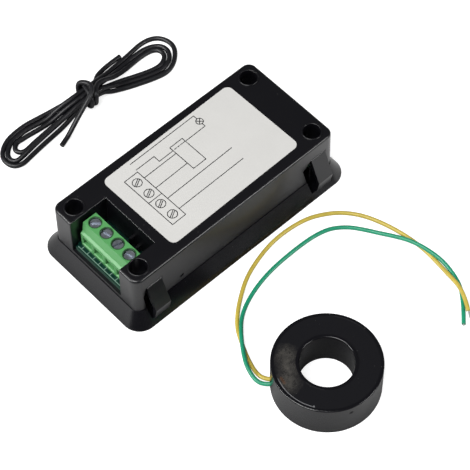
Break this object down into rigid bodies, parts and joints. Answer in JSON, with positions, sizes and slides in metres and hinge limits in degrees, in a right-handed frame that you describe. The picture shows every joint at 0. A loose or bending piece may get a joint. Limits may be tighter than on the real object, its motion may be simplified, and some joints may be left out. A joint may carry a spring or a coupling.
{
  "type": "panel power meter",
  "caption": "Panel power meter lying face down, with clamp terminals, snap latches, a ring current transformer on two leads and a spare lead.",
  "frame": {"origin": "middle of the meter's front face, on the flush display window, which is the plane that everything rests on", "axes": "+Z from the front face up to the labelled back; +X along the meter from its terminal end to its far end; -Y towards the current transformer"},
  "size_m": [0.0872, 0.1496, 0.0216],
  "materials": {
    "black_insulation": "soft insulation, black",
    "black_plastic": "satin moulded ABS, near black",
    "board": "glass fibre laminate with green solder mask",
    "button_plastic": "satin rubber-like plastic",
    "can_sleeve": "shrunk sleeve, dark blue",
    "chip_plastic": "moulded epoxy",
    "clamp_metal": "zinc plated steel",
    "clear_plastic": "smoked clear acrylic",
    "coil_ferrite": "ferrite",
    "contact_metal": "tinned brass",
    "display_glass": "liquid crystal glass",
    "film_case": "potted film capacitor case, yellow",
    "green_insulation": "soft insulation, green",
    "green_plastic": "satin moulded polyamide, green",
    "label_film": "matt printed label film",
    "ring_case": "satin moulded plastic, near black",
    "ring_copper": "enamelled copper wire",
    "ring_core": "nanocrystalline iron strip",
    "ring_resin": "cast resin, glossy black",
    "screw_metal": "zinc plated steel",
    "surge_coat": "epoxy coat, blue",
    "switch_plastic": "moulded plastic",
    "tinned_wire": "tinned copper strands",
    "white_plastic": "white diffuser",
    "yellow_insulation": "soft insulation, yellow"
  },
  "bodies": {
    "meter": {"case_screw_1": "screw_metal", "case_screw_2": "screw_metal", "case_screw_3": "screw_metal", "case_screw_4": "screw_metal", "control_chip": "chip_plastic", "display_backlight": "white_plastic", "display_glass": "display_glass", "display_lens": "clear_plastic", "filter_capacitor": "can_sleeve", "front_bezel": "black_plastic", "main_board": "board", "mains_capacitor": "film_case", "metering_chip": "chip_plastic", "rear_housing": "black_plastic", "rear_label": "label_film", "storage_capacitor": "can_sleeve", "supply_coil": "coil_ferrite", "surge_absorber": "surge_coat", "tact_switch": "switch_plastic", "terminal_block": "green_plastic", "terminal_contact_1": "contact_metal", "terminal_contact_2": "contact_metal", "terminal_contact_3": "contact_metal", "terminal_contact_4": "contact_metal"},
    "terminal_screw_1": {"terminal_screw_1": "screw_metal"},
    "terminal_screw_2": {"terminal_screw_2": "screw_metal"},
    "terminal_screw_3": {"terminal_screw_3": "screw_metal"},
    "terminal_screw_4": {"terminal_screw_4": "screw_metal"},
    "terminal_cage_1": {"terminal_cage_1": "clamp_metal"},
    "terminal_cage_2": {"terminal_cage_2": "clamp_metal"},
    "terminal_cage_3": {"terminal_cage_3": "clamp_metal"},
    "terminal_cage_4": {"terminal_cage_4": "clamp_metal"},
    "snap_latch_1": {"snap_latch_1": "black_plastic"},
    "snap_latch_2": {"snap_latch_2": "black_plastic"},
    "snap_latch_3": {"snap_latch_3": "black_plastic"},
    "snap_latch_4": {"snap_latch_4": "black_plastic"},
    "function_button": {"function_button": "button_plastic"},
    "current_transformer": {"transformer_case": "ring_case", "transformer_core": "ring_core", "transformer_resin": "ring_resin", "transformer_winding": "ring_copper", "lead_yellow": "yellow_insulation", "lead_green": "green_insulation", "lead_tip": "tinned_wire"},
    "spare_lead": {"lead_hank": "black_insulation"}
  },
  "joints": [
    {"name": "terminal_cage_1_rise", "type": "slide", "parent": "meter", "child": "terminal_cage_1", "axis": [0, 0, 1], "range_m": [0, 0.0013]},
    {"name": "terminal_screw_1_turn", "type": "hinge", "parent": "meter", "child": "terminal_screw_1", "pos_m": [-0.03345, 0.00667, 0.017], "axis": [0, 0, -1], "range_deg": [0, 936]},
    {"name": "terminal_cage_2_rise", "type": "slide", "parent": "meter", "child": "terminal_cage_2", "axis": [0, 0, 1], "range_m": [0, 0.0013]},
    {"name": "terminal_screw_2_turn", "type": "hinge", "parent": "meter", "child": "terminal_screw_2", "pos_m": [-0.03345, 0.00159, 0.017], "axis": [0, 0, -1], "range_deg": [0, 936]},
    {"name": "terminal_cage_3_rise", "type": "slide", "parent": "meter", "child": "terminal_cage_3", "axis": [0, 0, 1], "range_m": [0, 0.0013]},
    {"name": "terminal_screw_3_turn", "type": "hinge", "parent": "meter", "child": "terminal_screw_3", "pos_m": [-0.03345, -0.00349, 0.017], "axis": [0, 0, -1], "range_deg": [0, 936]},
    {"name": "terminal_cage_4_rise", "type": "slide", "parent": "meter", "child": "terminal_cage_4", "axis": [0, 0, 1], "range_m": [0, 0.0013]},
    {"name": "terminal_screw_4_turn", "type": "hinge", "parent": "meter", "child": "terminal_screw_4", "pos_m": [-0.03345, -0.00857, 0.017], "axis": [0, 0, -1], "range_deg": [0, 936]},
    {"name": "snap_latch_1_flex", "type": "hinge", "parent": "meter", "child": "snap_latch_1", "pos_m": [-0.0332, -0.0184, 0.0153], "axis": [1, 0, 0], "range_deg": [0, 16], "stiffness_Nm_per_rad": 0.2},
    {"name": "snap_latch_2_flex", "type": "hinge", "parent": "meter", "child": "snap_latch_2", "pos_m": [0.0332, -0.0184, 0.0153], "axis": [1, 0, 0], "range_deg": [0, 16], "stiffness_Nm_per_rad": 0.2},
    {"name": "snap_latch_3_flex", "type": "hinge", "parent": "meter", "child": "snap_latch_3", "pos_m": [0.0332, 0.0184, 0.0153], "axis": [-1, 0, 0], "range_deg": [0, 16], "stiffness_Nm_per_rad": 0.2},
    {"name": "snap_latch_4_flex", "type": "hinge", "parent": "meter", "child": "snap_latch_4", "pos_m": [-0.0332, 0.0184, 0.0153], "axis": [-1, 0, 0], "range_deg": [0, 16], "stiffness_Nm_per_rad": 0.2},
    {"name": "function_button_press", "type": "slide", "parent": "meter", "child": "function_button", "axis": [0, 0, 1], "range_m": [0, 0.0003], "stiffness_N_per_m": 900},
    {"name": "current_transformer_lift", "type": "slide", "parent": "meter", "child": "current_transformer", "axis": [0, 0, 1], "range_m": [0, 0.06]},
    {"name": "spare_lead_lift", "type": "slide", "parent": "meter", "child": "spare_lead", "axis": [0, 0, 1], "range_m": [0, 0.06]}
  ],
  "couplings": [
    {"joint": "terminal_screw_1_turn", "follows": "terminal_cage_1_rise", "rad_per_m": 12566},
    {"joint": "terminal_screw_2_turn", "follows": "terminal_cage_2_rise", "rad_per_m": 12566},
    {"joint": "terminal_screw_3_turn", "follows": "terminal_cage_3_rise", "rad_per_m": 12566},
    {"joint": "terminal_screw_4_turn", "follows": "terminal_cage_4_rise", "rad_per_m": 12566}
  ]
}
